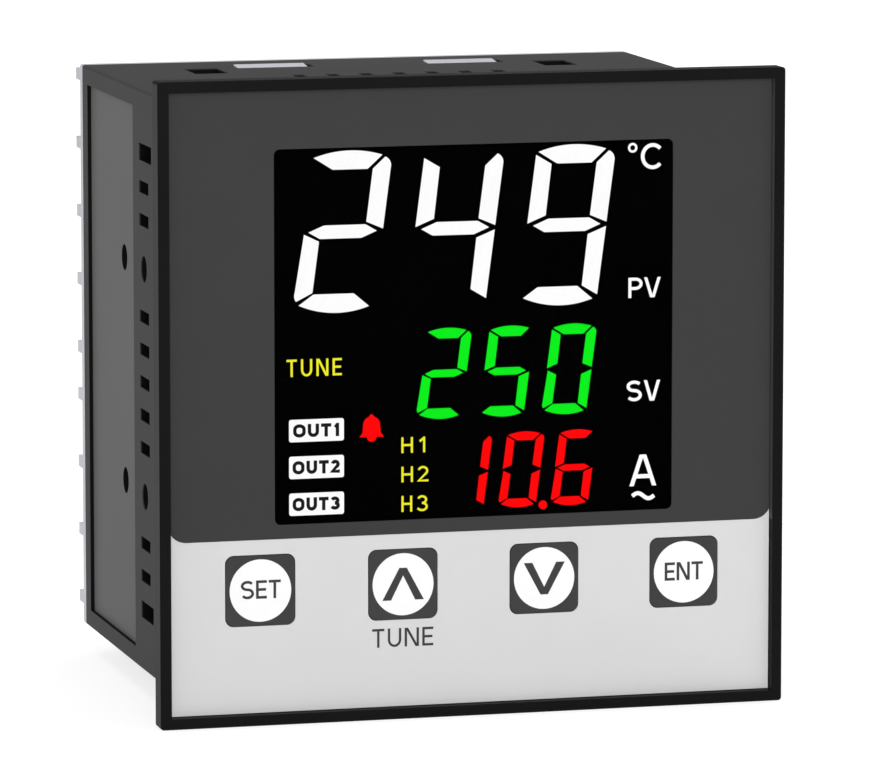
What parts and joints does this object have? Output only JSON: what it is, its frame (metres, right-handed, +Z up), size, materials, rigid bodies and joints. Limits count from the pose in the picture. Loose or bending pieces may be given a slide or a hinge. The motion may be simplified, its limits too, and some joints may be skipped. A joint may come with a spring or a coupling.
{
  "type": "temperature controller",
  "caption": "Square panel-mounted temperature controller with a lit three-row display, a row of press keys, a vented housing and a rear cover with screw terminals.",
  "frame": {"origin": "centre of the front frame's rear face, which is the surface of the panel that the controller is fitted in", "axes": "+X to the right as the user sees the front, +Y back through the panel opening, +Z up"},
  "size_m": [0.096, 0.0757, 0.096],
  "materials": {
    "black_plastic": "fine matte moulded plastic",
    "light_film": "matte film",
    "dark_print": "matte print",
    "clear_window": "clear film",
    "display_glass": "black glass",
    "green_light": "lit segments",
    "red_light": "lit segments",
    "white_light": "lit segments",
    "white_plastic": "moulded plastic",
    "circuit_board": "solder mask",
    "steel_screws": "zinc plated",
    "chip_package": "moulded epoxy",
    "pale_plastic": "matte moulded plastic",
    "terminal_plastic": "flame-retardant plastic",
    "plated_steel": "tin plated",
    "core_iron": "varnished laminations",
    "winding_tape": "yellow tape",
    "capacitor_can": "sleeved can",
    "relay_plastic": "moulded case",
    "key_plastic": "matte moulded plastic",
    "white_print": "print"
  },
  "bodies": {
    "case": {"front_frame": "black_plastic", "front_film": "light_film", "upper_field": "dark_print", "display_window": "clear_window", "display_glass": "display_glass", "process_value": "white_light", "set_value": "green_light", "current_value": "red_light", "output_flags": "white_light", "alarm_bell": "red_light", "backlight": "white_plastic", "display_board": "circuit_board", "board_screws": "steel_screws", "microcontroller": "chip_package", "tact_switches": "chip_package", "housing": "black_plastic", "rear_cover": "pale_plastic", "terminal_block_right_upper": "terminal_plastic", "terminal_block_right_lower": "terminal_plastic", "terminal_block_left_upper": "terminal_plastic", "terminal_block_left_lower": "terminal_plastic", "terminal_tags": "plated_steel", "terminal_clamps": "plated_steel", "terminal_screws": "steel_screws", "output_board": "circuit_board", "power_board": "circuit_board", "board_links": "chip_package", "transformer_core": "core_iron", "transformer_coil": "winding_tape", "main_capacitor": "capacitor_can", "filter_capacitor": "capacitor_can", "output_relay_1": "relay_plastic", "output_relay_2": "relay_plastic", "output_relay_3": "relay_plastic"},
    "set_key": {"set_key_cap": "key_plastic", "set_key_disc": "white_print", "set_switch_plunger": "white_plastic"},
    "up_key": {"up_key_cap": "key_plastic", "up_key_disc": "white_print", "up_switch_plunger": "white_plastic"},
    "down_key": {"down_key_cap": "key_plastic", "down_key_disc": "white_print", "down_switch_plunger": "white_plastic"},
    "enter_key": {"enter_key_cap": "key_plastic", "enter_key_disc": "white_print", "enter_switch_plunger": "white_plastic"}
  },
  "joints": [
    {"name": "set_key_press", "type": "slide", "parent": "case", "child": "set_key", "axis": [0, 1, 0], "range_m": [0, 0.0005], "stiffness_N_per_m": 3000, "springref_m": -0.0002},
    {"name": "up_key_press", "type": "slide", "parent": "case", "child": "up_key", "axis": [0, 1, 0], "range_m": [0, 0.0005], "stiffness_N_per_m": 3000, "springref_m": -0.0002},
    {"name": "down_key_press", "type": "slide", "parent": "case", "child": "down_key", "axis": [0, 1, 0], "range_m": [0, 0.0005], "stiffness_N_per_m": 3000, "springref_m": -0.0002},
    {"name": "enter_key_press", "type": "slide", "parent": "case", "child": "enter_key", "axis": [0, 1, 0], "range_m": [0, 0.0005], "stiffness_N_per_m": 3000, "springref_m": -0.0002}
  ]
}
